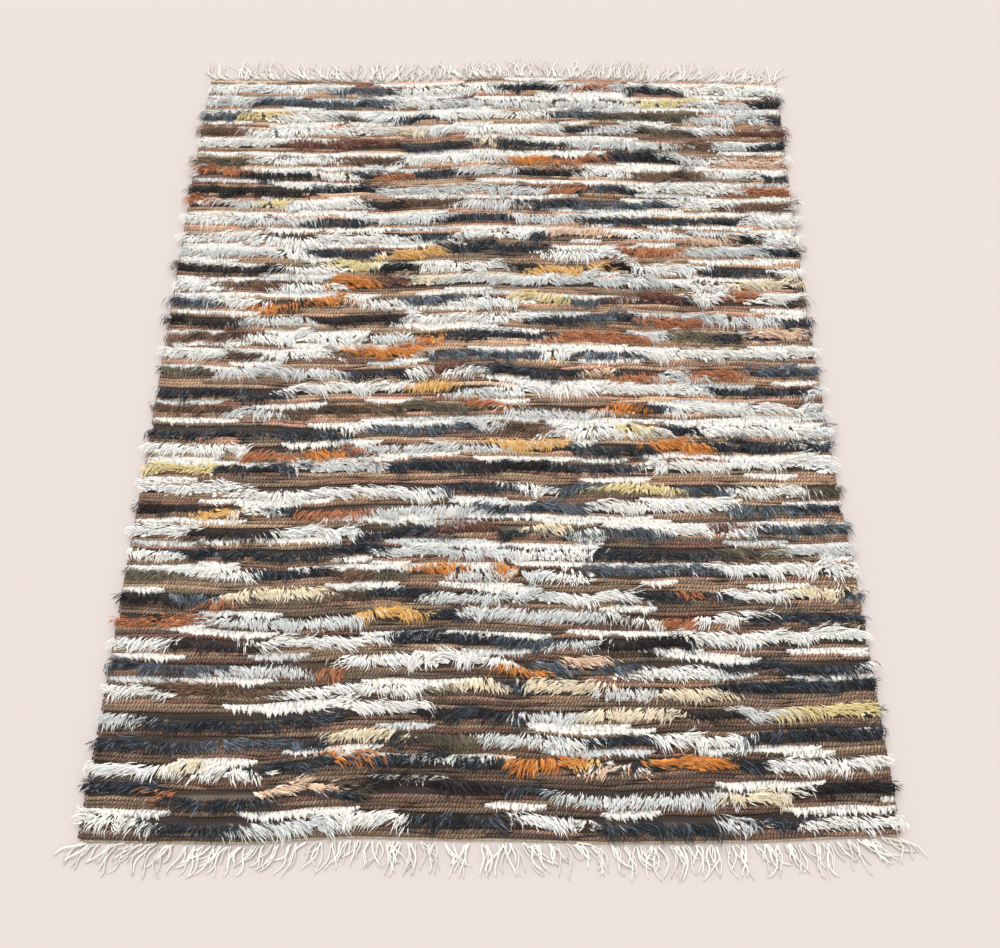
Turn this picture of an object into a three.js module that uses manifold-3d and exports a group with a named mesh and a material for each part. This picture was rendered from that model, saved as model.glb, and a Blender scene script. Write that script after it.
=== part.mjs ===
// Boucherouite rug: a hand-knotted rag and wool rug with rows of long pile, low ribbed bands between
// them, locks of pile over both long sides and a white warp fringe at each end.
// Millimetres, +Z up. X runs across the rug, Y along it, and the underside lies on z = 0.
import * as THREE from "three";
import { mergeVertices } from "three/addons/utils/BufferGeometryUtils.js";
import Module from "manifold-3d";

const wasm = await Module();
wasm.setup();

// Driving sizes
const WIDTH = 1500;
const LENGTH = 1900;
const PILE_ROWS = 39;
const FIRST_BAND = 15;
const ROW_PITCH = (LENGTH - FIRST_BAND) / PILE_ROWS;
const EDGE_HEIGHT = 5;
const BAND_HEIGHT = 11;
const ROLLED_EDGE = 9;
const MID_COLUMNS = 14;
const CUT_DEPTH = 20;
const PIECE_GAP = 0.3;

// One row of the rug from its near foot to the next row, as shares of the row pitch.
const ROW_PROFILE = [
  { part: "foot of the pile", at: 0.0, height: 9, lump: 1.5 },
  { part: "pile tips", at: 0.16, height: 23, lump: 5 },
  { part: "pile roots", at: 0.5, height: 18, lump: 4 },
  { part: "ribbed band", at: 0.74, height: BAND_HEIGHT, lump: 1.5 },
];

// How far the two long sides stand in from the full width, going from the near end to the far end.
const SIDE_EDGES = [
  { along: 0.0, left: -5, right: 15 },
  { along: 0.2, left: 2, right: 17 },
  { along: 0.42, left: 8, right: 27 },
  { along: 0.62, left: 10, right: 29 },
  { along: 0.82, left: 12, right: 21 },
  { along: 1.0, left: 20, right: 10 },
];

// How far the two woven ends wander from straight, going from the left side to the right side.
const WOVEN_ENDS = [
  { across: 0.0, near: -3, far: -14 },
  { across: 0.2, near: -7, far: -12 },
  { across: 0.32, near: 2, far: -16 },
  { across: 0.5, near: -4, far: 2 },
  { across: 0.65, near: -10, far: 1 },
  { across: 0.8, near: -9, far: -8 },
  { across: 1.0, near: 0, far: -14 },
];

// The twined cord at each end, and the warp fringe that hangs from it, both lying on the floor.
const END_CORD = { width: 6, height: 5 };
const STRAND = { width: 6.4, tip: 4.6 };
const NEAR_FRINGE = { count: 92, length: 56, vary: 8, bend: 9, steps: 2 };
const FAR_FRINGE = { count: 74, length: 60, vary: 10, bend: 8, steps: 2 };

const FRINGE_SCATTER = 3;

// Where the fringe leans to, in degrees from straight out, positive to the right.
const FRINGE_LEAN = [
  { across: 0.0, near: -38, far: -22 },
  { across: 0.18, near: -30, far: -30 },
  { across: 0.25, near: -34, far: -8 },
  { across: 0.33, near: -8, far: 12 },
  { across: 0.48, near: 6, far: -18 },
  { across: 0.6, near: 33, far: -4 },
  { across: 0.68, near: 24, far: 20 },
  { across: 0.77, near: 4, far: 8 },
  { across: 0.86, near: 22, far: 26 },
  { across: 1.0, near: 40, far: 34 },
];

// The locks of pile that hang out over the long sides, one at the end of each row.
const SIDE_LOCK = { at: 0.42, inside: 16, length: 42, vary: 10, width: 20, tip: 5, drop: 20, sweep: 14 };

// A fixed, even scatter from -1 to 1 that stands in for the weaver's hand.
function hand(seed) {
  const wave = Math.sin(seed * 12.9898 + 4.1414) * 43758.5453;
  return 2 * (wave - Math.floor(wave)) - 1;
}

// A smooth line through one column of a short table.
function curveOf(table, place, column) {
  const points = table.map((row) => new THREE.Vector2(row[place], row[column]));
  const spline = new THREE.SplineCurve(points);
  const samples = spline.getPoints(120);
  return (at) => {
    const next = Math.max(1, samples.findIndex((p) => p.x >= at - 1e-9));
    const [a, b] = [samples[next - 1], samples[next]];
    return THREE.MathUtils.mapLinear(at, a.x, b.x, a.y, b.y);
  };
}

const leftEdge = curveOf(SIDE_EDGES, "along", "left");
const rightEdge = curveOf(SIDE_EDGES, "along", "right");
const nearEnd = curveOf(WOVEN_ENDS, "across", "near");
const farEnd = curveOf(WOVEN_ENDS, "across", "far");

// The place in plan of a point given as shares across and along the woven body.
function planPoint(across, along) {
  const left = -WIDTH / 2 + leftEdge(along);
  const right = WIDTH / 2 - rightEdge(along);
  const near = -LENGTH / 2 + nearEnd(across);
  const far = LENGTH / 2 + farEnd(across);
  return new THREE.Vector2(
    THREE.MathUtils.lerp(left, right, across),
    THREE.MathUtils.lerp(near, far, along),
  );
}

// Stations across the rug: close together at the rolled sides, even between them.
function stationsAcross() {
  const side = ROLLED_EDGE / WIDTH;
  const middle = Array.from({ length: MID_COLUMNS + 1 }, (_, i) =>
    THREE.MathUtils.lerp(side, 1 - side, i / MID_COLUMNS),
  );
  return [0, ...middle, 1];
}

// How far along the rug a point of a row lies, as a share of the length.
function alongOf(row, at) {
  return (FIRST_BAND + (row + at) * ROW_PITCH) / LENGTH;
}

// Stations along the rug: the near edge with its ribbed band, every row's profile, the far edge.
function stationsAlong() {
  const stations = [
    { row: -1, at: 0, height: EDGE_HEIGHT, lump: 0, along: 0 },
    { row: -1, at: 0.5, height: BAND_HEIGHT, lump: 1.5, along: FIRST_BAND / LENGTH / 2 },
  ];
  for (let row = 0; row < PILE_ROWS; row++) {
    for (const point of ROW_PROFILE) {
      stations.push({ ...point, row, along: alongOf(row, point.at) });
    }
  }
  stations.push({ row: PILE_ROWS, at: 0, height: EDGE_HEIGHT, lump: 0, along: 1 });
  return stations;
}

// The height of the pile or band, with lumps where the yarns change along a row.
function surfaceHeight(station, across, column) {
  const slow = Math.sin(across * 9 + station.row * 2.3) * 0.5;
  const quick = hand(station.row * 31 + column * 7 + station.at * 3) * 0.5;
  return station.height + station.lump * (slow + quick);
}

// A closed solid from a geometry: only places are kept, and shared vertices are merged.
function solidOf(geometry) {
  geometry.deleteAttribute("normal");
  geometry.deleteAttribute("uv");
  const merged = mergeVertices(geometry, 1e-3);
  return new wasm.Manifold(
    new wasm.Mesh({
      numProp: 3,
      vertProperties: Float32Array.from(merged.attributes.position.array),
      triVerts: Uint32Array.from(merged.index.array),
    }),
  );
}

function geometryOf(solid) {
  const mesh = solid.getMesh();
  return new THREE.BufferGeometry()
    .setAttribute("position", new THREE.BufferAttribute(mesh.vertProperties, 3))
    .setIndex(new THREE.BufferAttribute(mesh.triVerts, 1));
}

function joined(solids) {
  return solids.reduce((all, solid) => all.add(solid));
}

// The body: a box with its top raised into rows and its sides drawn in to the uneven outline. It is
// made too deep and then cut off level with the floor, which leaves one flat face underneath.
function bodySlab() {
  const across = stationsAcross();
  const along = stationsAlong();
  const [columns, rows] = [across.length - 1, along.length - 1];
  const geometry = new THREE.BoxGeometry(columns, rows, 1, columns, rows, 1);
  const place = geometry.attributes.position;
  for (let i = 0; i < place.count; i++) {
    const column = Math.round(place.getX(i) + columns / 2);
    const row = Math.round(place.getY(i) + rows / 2);
    const station = along[row];
    const plan = planPoint(across[column], station.along);
    const onSide = column === 0 || column === columns;
    const top = onSide ? EDGE_HEIGHT : surfaceHeight(station, across[column], column);
    place.setXYZ(i, plan.x, plan.y, place.getZ(i) > 0 ? top : -CUT_DEPTH / 2);
  }
  const below = new THREE.BoxGeometry(2 * WIDTH, 2 * LENGTH, CUT_DEPTH);
  below.translate(0, 0, -CUT_DEPTH / 2);
  return solidOf(geometry).subtract(solidOf(below));
}

// A three-sided lock or strand lying on the surface. It leaves its root along one way and curves
// to another, and keeps one flat side down.
function lyingStrand({ root, leave, arrive, length, width, tip, steps }) {
  const geometry = new THREE.CylinderGeometry(tip / 2, width / 2, 1, 3, steps);
  const place = geometry.attributes.position;
  const half = length / 2;
  const middle = root.clone().addScaledVector(leave, half);
  const end = middle.clone().addScaledVector(arrive, half);
  const route = new THREE.QuadraticBezierCurve(root, middle, end);
  for (let i = 0; i < place.count; i++) {
    const share = place.getY(i) + 0.5;
    const at = route.getPoint(share);
    const ahead = route.getTangent(share);
    const radius = THREE.MathUtils.lerp(width, tip, share) / 2;
    const sideways = place.getX(i);
    place.setXYZ(
      i,
      at.x + ahead.y * sideways,
      at.y - ahead.x * sideways,
      place.getZ(i) + radius / 2,
    );
  }
  return solidOf(geometry);
}

function heading(degrees, outward) {
  const angle = THREE.MathUtils.degToRad(degrees);
  return new THREE.Vector2(Math.sin(angle), outward * Math.cos(angle));
}

// Locks of pile at both ends of every row, fused into the slab.
function sideLocks() {
  const locks = [];
  for (let row = 0; row < PILE_ROWS; row++) {
    for (const side of [-1, 1]) {
      const seed = row * 5 + side;
      const along = alongOf(row, SIDE_LOCK.at + 0.12 * hand(seed));
      const root = planPoint(side < 0 ? 0 : 1, along);
      root.x -= side * SIDE_LOCK.inside;
      const sweep = SIDE_LOCK.sweep * hand(seed + 900);
      locks.push(
        lyingStrand({
          root,
          leave: heading(side * 84, -1),
          arrive: heading(side * (90 - SIDE_LOCK.drop - sweep), -1),
          length: SIDE_LOCK.length + SIDE_LOCK.vary * hand(seed + 400),
          width: SIDE_LOCK.width,
          tip: SIDE_LOCK.tip,
          steps: 2,
        }),
      );
    }
  }
  return locks;
}

// The twined cord along one woven end, a gap away from the body.
function endCord(outward) {
  const across = stationsAcross();
  const columns = across.length - 1;
  const geometry = new THREE.BoxGeometry(columns, 1, 1, columns, 1, 1);
  const place = geometry.attributes.position;
  for (let i = 0; i < place.count; i++) {
    const column = Math.round(place.getX(i) + columns / 2);
    const plan = planPoint(across[column], outward < 0 ? 0 : 1);
    const inner = place.getY(i) * outward < 0;
    const out = inner ? PIECE_GAP : PIECE_GAP + END_CORD.width;
    place.setXYZ(i, plan.x, plan.y + outward * out, place.getZ(i) > 0 ? END_CORD.height : 0);
  }
  return solidOf(geometry);
}

// One end's cord with its fringe: the strands stand apart but for their roots in the cord.
function fringe(outward, sizes) {
  const lean = curveOf(FRINGE_LEAN, "across", outward < 0 ? "near" : "far");
  const strands = [];
  for (let i = 0; i < sizes.count; i++) {
    const across = (i + 0.5) / sizes.count;
    const root = planPoint(across, outward < 0 ? 0 : 1);
    root.y += outward * (PIECE_GAP + END_CORD.width / 2);
    const angle = lean(across) + FRINGE_SCATTER * hand(i * 3 + outward);
    strands.push(
      lyingStrand({
        root,
        leave: heading(angle + sizes.bend, outward),
        arrive: heading(angle - sizes.bend, outward),
        length: sizes.length + sizes.vary * hand(i + (outward < 0 ? 0 : 300)),
        width: STRAND.width,
        tip: STRAND.tip,
        steps: sizes.steps,
      }),
    );
  }
  return joined([endCord(outward), ...strands]);
}

const pileYarn = new THREE.MeshStandardMaterial({ color: 0x8d8078, roughness: 0.95, metalness: 0 });
const fringeCotton = new THREE.MeshStandardMaterial({ color: 0xf1ece2, roughness: 0.9, metalness: 0 });

function node(name, solid, material) {
  const mesh = new THREE.Mesh(geometryOf(solid), material);
  mesh.name = name;
  return mesh;
}

const rug = new THREE.Group();
rug.add(node("rug_body", joined([bodySlab(), ...sideLocks()]), pileYarn));
rug.add(node("fringe_near", fringe(-1, NEAR_FRINGE), fringeCotton));
rug.add(node("fringe_far", fringe(1, FAR_FRINGE), fringeCotton));

export default rug;
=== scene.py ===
# %% [markdown]
# # A boucherouite rug
# The real rug is woven on an upright loom from rags and wool. Rows of long pile lie across it, with
# low bands of rag wrapped round the warps between them, and the warps hang out at both ends as a
# white fringe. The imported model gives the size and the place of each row. This lesson dresses it
# with the yarns: more than a hundred thousand locks, hairs and rolls, copied from a few small shapes.

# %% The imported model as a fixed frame
from collections import namedtuple
from functools import partial

import bmesh
import bpy
import numpy as np
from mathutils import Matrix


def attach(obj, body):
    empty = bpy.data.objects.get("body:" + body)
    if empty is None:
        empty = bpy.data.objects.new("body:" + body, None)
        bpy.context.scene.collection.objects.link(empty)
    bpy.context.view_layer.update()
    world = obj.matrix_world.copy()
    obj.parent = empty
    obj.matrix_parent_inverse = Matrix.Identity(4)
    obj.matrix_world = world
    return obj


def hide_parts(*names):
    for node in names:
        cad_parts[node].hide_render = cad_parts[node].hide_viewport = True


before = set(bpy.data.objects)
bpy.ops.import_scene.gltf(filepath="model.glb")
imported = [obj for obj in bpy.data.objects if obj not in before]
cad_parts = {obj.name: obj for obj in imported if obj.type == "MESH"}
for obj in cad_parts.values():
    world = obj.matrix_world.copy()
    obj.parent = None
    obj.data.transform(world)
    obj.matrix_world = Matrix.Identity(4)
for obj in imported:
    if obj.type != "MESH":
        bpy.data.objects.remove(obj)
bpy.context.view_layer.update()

# %% [markdown]
# ## Camera
# The photo was taken standing at the near end, with the phone held out over the rug. The camera's
# place and tilt were worked out from the four corners of the woven body, and they are set first so
# that every later choice can be judged from there.

# %% Camera
PHOTO_WIDTH_PX = 1000
FOCAL_PX = 1080
SENSOR_MM = 36
CAMERA_PLACE = (-0.0271, -1.2598, 2.0568)
CAMERA_TILT_DEG = (27.09, -0.829, -0.396)


def placed(name, data):
    """An object that holds the data, added to the scene."""
    thing = bpy.data.objects.new(name, data)
    bpy.context.scene.collection.objects.link(thing)
    return thing


camera_data = bpy.data.cameras.new("camera")
camera_data.sensor_width = SENSOR_MM
camera_data.lens = SENSOR_MM * FOCAL_PX / PHOTO_WIDTH_PX
camera = placed("camera", camera_data)
camera.location = CAMERA_PLACE
camera.rotation_euler = np.radians(CAMERA_TILT_DEG)
bpy.context.scene.camera = camera
print("camera lens in mm:", round(camera_data.lens, 2))

# %% [markdown]
# ## Sizes
# Every yarn finds its place from two shares: how far across the rug it lies, and how far along.
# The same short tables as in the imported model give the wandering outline, so the yarns stay on it.
# A seeded random generator stands in for the weaver's hand and gives the same rug on each run.

# %% Sizes and the plan of the rug
WIDTH = 1.5
LENGTH = 1.9
PILE_ROWS = 39
FIRST_BAND = 0.015
ROW_PITCH = (LENGTH - FIRST_BAND) / PILE_ROWS
END_GAP = 0.0003
FLOOR_CLEAR = 0.0002
GROUND_TOP = 0.005
ROW_DRIFT = 0.0034
DRIFT_ONSET = 30

SIDE_PLACES = (0.0, 0.2, 0.42, 0.62, 0.82, 1.0)
LEFT_EDGE = (-0.005, 0.002, 0.008, 0.010, 0.012, 0.020)
RIGHT_EDGE = (0.015, 0.017, 0.027, 0.029, 0.021, 0.010)
END_PLACES = (0.0, 0.2, 0.32, 0.5, 0.65, 0.8, 1.0)
NEAR_END = (-0.003, -0.007, 0.002, -0.004, -0.010, -0.009, 0.0)
FAR_END = (-0.014, -0.012, -0.016, 0.002, 0.001, -0.008, -0.014)

rng = np.random.default_rng(1970)


def smooth_line(at, places, values):
    """A value between the table's places, eased so that the outline has no corners."""
    places, values = np.asarray(places), np.asarray(values)
    at = np.clip(at, 0, 1)
    left = np.clip(np.searchsorted(places, at, side="right") - 1, 0, len(places) - 2)
    share = (at - places[left]) / (places[left + 1] - places[left])
    eased = share * share * (3 - 2 * share)
    return values[left] + (values[left + 1] - values[left]) * eased


def wander(a, b, seed):
    """A smooth, slow drift from about -1 to 1 over two directions."""
    first = np.sin(3.1 * a + 1.7 * seed + 1.3 * np.sin(2.3 * b + seed))
    second = 0.6 * np.sin(7.3 * a - 1.9 * b + 2.9 * seed)
    third = 0.35 * np.sin(15.1 * a + 0.7 * b + 5.3 * seed)
    return (first + second + third) / 1.6


def plan(across, along):
    """X and Y in metres of a point given as shares across and along the woven body."""
    left = -WIDTH / 2 + smooth_line(along, SIDE_PLACES, LEFT_EDGE)
    right = WIDTH / 2 - smooth_line(along, SIDE_PLACES, RIGHT_EDGE)
    near = -LENGTH / 2 + smooth_line(across, END_PLACES, NEAR_END)
    far = LENGTH / 2 + smooth_line(across, END_PLACES, FAR_END)
    inside = np.clip(along * (1 - along) * DRIFT_ONSET, 0, 1)
    drift = ROW_DRIFT * wander(5 * across, 45 * along, 1) * inside
    return left + (right - left) * across, near + (far - near) * along + drift


def along_of(row, share):
    """How far along the rug a point of a row lies, with the share counted in row pitches."""
    return (FIRST_BAND + (row + share) * ROW_PITCH) / LENGTH


print("rows:", PILE_ROWS, "pitch in mm:", round(ROW_PITCH * 1000, 1))

# %% [markdown]
# ## Yarns and where they lie
# The weaver uses up whatever is at hand, so each row changes yarn every hand's breadth or two. Dark
# blue and white lead, brown comes next, and short runs of orange, gold, yellow and rust light it up.
# Each yarn has a base colour, a glint for the strands that catch the light, the share of such
# strands, and how far single strands stray in tone.

# %% Yarn colours
Yarn = namedtuple("Yarn", "base glint glint_share spread")
YARNS = {
    "white": Yarn((250, 245, 235), (254, 252, 247), 0.35, 0.03),
    "cream": Yarn((242, 220, 182), (250, 238, 216), 0.4, 0.08),
    "grey": Yarn((208, 210, 207), (240, 240, 236), 0.35, 0.10),
    "navy": Yarn((12, 13, 17), (88, 97, 108), 0.2, 0.3),
    "slate": Yarn((52, 58, 66), (120, 130, 140), 0.3, 0.2),
    "black": Yarn((9, 8, 9), (54, 48, 47), 0.15, 0.25),
    "plum": Yarn((22, 16, 17), (76, 64, 64), 0.2, 0.2),
    "olive": Yarn((80, 73, 58), (134, 124, 102), 0.25, 0.2),
    "brown": Yarn((88, 65, 50), (142, 114, 90), 0.25, 0.2),
    "rust": Yarn((158, 92, 60), (214, 146, 100), 0.3, 0.2),
    "orange": Yarn((202, 114, 46), (238, 172, 94), 0.3, 0.16),
    "gold": Yarn((228, 168, 88), (248, 210, 144), 0.3, 0.12),
    "yellow": Yarn((230, 206, 138), (247, 234, 192), 0.3, 0.12),
    "maroon": Yarn((98, 60, 48), (146, 102, 84), 0.25, 0.2),
    "peach": Yarn((230, 184, 150), (248, 226, 204), 0.4, 0.12),
}
YARN_NAMES = list(YARNS)
DARK = {"navy", "slate", "black", "plum", "olive", "brown"}
print("yarns:", len(YARNS), "of them dark:", len(DARK))

# %% [markdown]
# ## The runs that one notices
# The long runs and the bright ones are what one notices, so they are listed: where each starts
# and ends in centimetres from the left edge, how far along the rug it lies, and its yarn. Where two
# meet, the later one lies on top. The quiet runs between them are chance, with more white towards
# the far end.

# %% The listed runs
Run = namedtuple("Run", "start_cm end_cm at_cm yarn")
RUNS = [Run(*entry) for entry in (
    (104, 123, 18, "white"), (124, 150, 19, "navy"), (32, 61, 24, "white"), (120, 150, 28, "navy"),
    (103, 118, 30, "white"), (114, 150, 38, "white"), (53, 78, 39, "navy"), (94, 120, 53, "slate"),
    (46, 92, 59, "navy"), (22, 62, 69, "white"), (95, 125, 68, "white"), (107, 148, 77, "white"),
    (0, 43, 83, "navy"), (121, 147, 82, "navy"), (71, 109, 88, "grey"), (28, 60, 97, "white"),
    (117, 149, 105, "white"), (66, 118, 125, "grey"), (20, 55, 136, "white"), (56, 89, 135, "navy"),
    (46, 91, 152, "grey"), (65, 92, 167, "navy"), (13, 48, 182, "slate"), (58, 140, 181, "grey"),
    (0, 12, 3, "white"), (12, 29, 2, "navy"), (29, 45, 2, "grey"), (47, 60, 3, "white"),
    (60, 78, 3, "navy"), (79, 93, 3, "white"), (94, 117, 2, "navy"), (121, 133, 2, "navy"),
    (133, 150, 2, "white"), (0, 9, 6, "peach"), (12, 16, 6, "rust"), (17, 48, 6, "navy"),
    (50, 80, 9, "plum"), (88, 117, 7, "grey"), (119, 130, 7, "cream"), (135, 150, 8, "black"),
    (0, 14, 10, "navy"), (34, 43, 10, "peach"), (15, 22, 14, "cream"), (44, 46, 14, "orange"),
    (48, 51, 14, "orange"), (52, 78, 14, "navy"), (79, 91, 14, "orange"), (91, 94, 15, "gold"),
    (95, 100, 12, "peach"), (104, 118, 13, "orange"), (126, 150, 13, "white"), (45, 57, 19, "cream"),
    (10, 44, 20, "navy"), (92, 105, 18, "navy"), (93, 111, 23, "cream"), (129, 149, 23, "yellow"),
    (108, 119, 27, "cream"), (67, 76, 29, "cream"), (76, 82, 30, "orange"), (82, 97, 29, "cream"),
    (42, 46, 30, "rust"), (88, 96, 34, "peach"), (47, 78, 34, "white"), (0, 8, 40, "rust"),
    (10, 18, 40, "rust"), (110, 117, 41, "rust"), (18, 23, 45, "rust"), (48, 61, 44, "gold"),
    (68, 100, 44, "grey"), (113, 117, 47, "rust"), (135, 147, 48, "cream"), (22, 40, 48, "cream"),
    (58, 69, 53, "orange"), (75, 80, 53, "orange"), (119, 149, 53, "white"), (13, 20, 64, "gold"),
    (35, 48, 64, "rust"), (64, 76, 63, "maroon"), (84, 90, 63, "cream"), (120, 127, 62, "maroon"),
    (100, 114, 71, "yellow"), (0, 16, 75, "yellow"), (33, 41, 79, "orange"), (44, 47, 80, "rust"),
    (23, 32, 79, "rust"), (75, 91, 82, "gold"), (109, 121, 81, "orange"), (103, 109, 86, "yellow"),
    (101, 109, 91, "orange"), (71, 79, 92, "rust"), (58, 67, 97, "gold"), (96, 103, 100, "peach"),
    (104, 112, 98, "rust"), (120, 132, 99, "rust"), (60, 68, 101, "maroon"), (41, 58, 105, "orange"),
    (58, 64, 107, "orange"), (89, 110, 109, "rust"), (135, 148, 110, "peach"), (109, 122, 113, "rust"),
    (22, 27, 117, "orange"), (32, 38, 117, "orange"), (33, 42, 121, "orange"), (102, 119, 120, "maroon"),
    (129, 138, 121, "rust"), (82, 94, 121, "yellow"), (130, 149, 124, "cream"), (36, 46, 126, "orange"),
    (46, 54, 126, "maroon"), (55, 66, 125, "cream"), (85, 100, 128, "gold"), (36, 48, 131, "yellow"),
    (49, 60, 133, "gold"), (105, 121, 134, "rust"), (122, 132, 137, "peach"), (90, 106, 140, "peach"),
    (0, 9, 150, "rust"), (18, 25, 149, "yellow"), (90, 100, 152, "rust"), (136, 149, 152, "rust"),
    (1, 12, 159, "rust"), (46, 54, 157, "rust"), (78, 91, 162, "orange"), (91, 101, 161, "rust"),
    (133, 148, 162, "peach"), (22, 50, 169, "maroon"), (71, 76, 168, "cream"), (47, 57, 172, "cream"),
    (135, 150, 172, "maroon"), (11, 19, 178, "yellow"), (112, 126, 182, "yellow"), (96, 104, 187, "rust"),
)]
print("listed runs:", len(RUNS))

# %% The quiet runs between them
NEAR_MIX = {
    "navy": 0.31, "white": 0.20, "grey": 0.12, "slate": 0.12,
    "black": 0.06, "plum": 0.05, "olive": 0.07, "brown": 0.07,
}
FAR_MIX = {
    "navy": 0.15, "white": 0.44, "grey": 0.18, "slate": 0.09,
    "black": 0.03, "plum": 0.02, "olive": 0.05, "brown": 0.04,
}
SAME_DEPTH_CHANCE = 0.3
QUIET_RUN_CM = (8, 30)
QUIET_SHIFT = 0.0035
LOFT_RANGE = (0.8, 1.25)
SWEEP_SPREAD = 0.35
BLEND_CELLS = 7
CELL_CM = 0.5
CELLS = int(WIDTH * 100 / CELL_CM)
SHIFT_LIMIT_CM = 1.2
PILE_MIDDLE = 0.30
Row = namedtuple("Row", "yarn shift loft sweep")


def row_and_shift(at_cm):
    """The row nearest to a place along the rug, and how far the run lies from its middle."""
    place = (at_cm / 100 - FIRST_BAND) / ROW_PITCH - PILE_MIDDLE
    row = int(np.clip(round(place), 0, PILE_ROWS - 1))
    shift = np.clip((place - row) * ROW_PITCH * 100, -SHIFT_LIMIT_CM, SHIFT_LIMIT_CM)
    return row, float(shift) / 100


def chance_yarn(mix, before):
    """A yarn by its weight in the mix. Dark usually follows pale and pale follows dark."""
    names = list(mix)
    repeats = [(name in DARK) == (before in DARK) for name in names]
    weights = np.array([mix[name] for name in names]) * np.where(repeats, SAME_DEPTH_CHANCE, 1)
    return names[rng.choice(len(names), p=weights / weights.sum())]


def blended(values):
    """Values across a row, each evened out with its neighbours."""
    even = np.ones(BLEND_CELLS) / BLEND_CELLS
    return np.convolve(np.pad(values, BLEND_CELLS // 2, "edge"), even, "valid")


def charted_row(row):
    """Yarn, shift along the rug, loft and sweep of each cell across one row of pile."""
    yarn, shift = np.full(CELLS, -1), np.zeros(CELLS)
    loft, sweep = np.ones(CELLS), np.zeros(CELLS)
    for run in RUNS:
        run_row, run_shift = row_and_shift(run.at_cm)
        if run_row == row:
            cells = slice(int(run.start_cm / CELL_CM), int(run.end_cm / CELL_CM))
            yarn[cells], shift[cells] = YARN_NAMES.index(run.yarn), run_shift
    far_share = row / PILE_ROWS
    mix = {
        name: NEAR_MIX[name] * (1 - far_share) + FAR_MIX[name] * far_share for name in NEAR_MIX
    }
    at, before = 0, "white" if rng.random() < 0.5 else "navy"
    while at < CELLS:
        length = int(rng.uniform(*QUIET_RUN_CM) / CELL_CM)
        name = chance_yarn(mix, before)
        part = slice(at, at + length)
        free = yarn[part] < 0
        shift[part][free] = rng.normal(0, QUIET_SHIFT)
        yarn[part][free] = YARN_NAMES.index(name)
        loft[part] = rng.uniform(*LOFT_RANGE)
        sweep[part] = rng.normal(0, SWEEP_SPREAD)
        at, before = at + length, name
    return Row(yarn, blended(shift), blended(loft), sweep)


chart = [charted_row(row) for row in range(PILE_ROWS)]
for name in ("white", "navy", "orange"):
    share = np.mean([row.yarn == YARN_NAMES.index(name) for row in chart])
    print(name, "share of the pile:", round(float(share), 3))

# %% [markdown]
# ## Small shapes, copied many times
# A lock of pile is a three-sided spindle, pointed at both ends, and a roll or a fringe cord is a
# rounder rod. One of each is made with bmesh. An array then holds where the corners of every copy go,
# and all the copies become one mesh. Thousands of objects would be far slower, and particle hair
# would be lost when the rug is exported.

# %% Small shapes
Shape = namedtuple("Shape", "corners faces sizes")


def taken_apart(bm):
    """The corners and faces of a small closed shape, pointing outwards."""
    bmesh.ops.recalc_face_normals(bm, faces=bm.faces[:])
    bm.verts.index_update()
    corners = np.array([v.co[:] for v in bm.verts])
    faces = np.concatenate([[v.index for v in f.verts] for f in bm.faces])
    sizes = np.array([len(f.verts) for f in bm.faces])
    bm.free()
    return Shape(corners, faces, sizes)


def rod_shape(sides, steps, pointed, pointed_root=False):
    """A rod of radius 1 whose length runs from 0 to 1, each end flat or a point."""
    bm = bmesh.new()
    bmesh.ops.create_circle(bm, cap_ends=True, segments=sides, radius=1)
    root = bm.verts[:]
    top = bm.faces[:]
    for step in range(steps):
        made = bmesh.ops.extrude_face_region(bm, geom=top)
        # The face that the rod grew from would stay inside it. The first one is the rod's root.
        if step > 0:
            bmesh.ops.delete(bm, geom=top, context="FACES_ONLY")
        lifted = [g for g in made["geom"] if isinstance(g, bmesh.types.BMVert)]
        bmesh.ops.translate(bm, verts=lifted, vec=(0, 0, 1 / steps))
        top = [g for g in made["geom"] if isinstance(g, bmesh.types.BMFace)]
    if pointed:
        bmesh.ops.pointmerge(bm, verts=lifted, merge_co=(0, 0, 1))
    if pointed_root:
        bmesh.ops.pointmerge(bm, verts=root, merge_co=(0, 0, 0))
    return taken_apart(bm)


def bead_shape():
    """A round bead of radius 1."""
    bm = bmesh.new()
    bmesh.ops.create_icosphere(bm, subdivisions=1, radius=1)
    return taken_apart(bm)


SPINDLE = rod_shape(3, 2, pointed=True, pointed_root=True)
SPINDLE_SWELL = np.array([[0.0, 1.0, 0.0]])
BEAD = bead_shape()
print("faces of a spindle:", len(SPINDLE.sizes), "of a bead:", len(BEAD.sizes))


# %% Many copies as one mesh
def joined(name, shape, places, colours, strand, material):
    """One mesh from many copies. places holds x, y, z of each corner of each copy."""
    copies, per_copy = places.shape[:2]
    mesh = bpy.data.meshes.new(name)
    mesh.vertices.add(copies * per_copy)
    mesh.vertices.foreach_set("co", places.astype(np.float32).ravel())
    offsets = per_copy * np.arange(copies)[:, None]
    mesh.loops.add(copies * len(shape.faces))
    mesh.loops.foreach_set("vertex_index", (shape.faces[None] + offsets).ravel().astype(np.int32))
    sizes = np.tile(shape.sizes, copies)
    mesh.polygons.add(len(sizes))
    mesh.polygons.foreach_set("loop_start", (np.cumsum(sizes) - sizes).astype(np.int32))
    mesh.polygons.foreach_set("use_smooth", np.ones(len(sizes), dtype=bool))
    yarn = mesh.attributes.new("yarn", "FLOAT_COLOR", "POINT")
    rgba = np.ones((copies, per_copy, 4), np.float32)
    rgba[:, :, :3] = colours if colours.ndim == 3 else colours[:, None, :]
    yarn.data.foreach_set("color", rgba.ravel())
    lie = mesh.attributes.new("strand", "FLOAT_VECTOR", "POINT")
    lie.data.foreach_set("vector", strand.astype(np.float32).ravel())
    mesh.update(calc_edges=True)
    mesh.validate()
    mesh.materials.append(material)
    print(name, "copies:", copies, "triangles:", int((sizes - 2).sum()))
    return placed(name, mesh)


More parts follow.
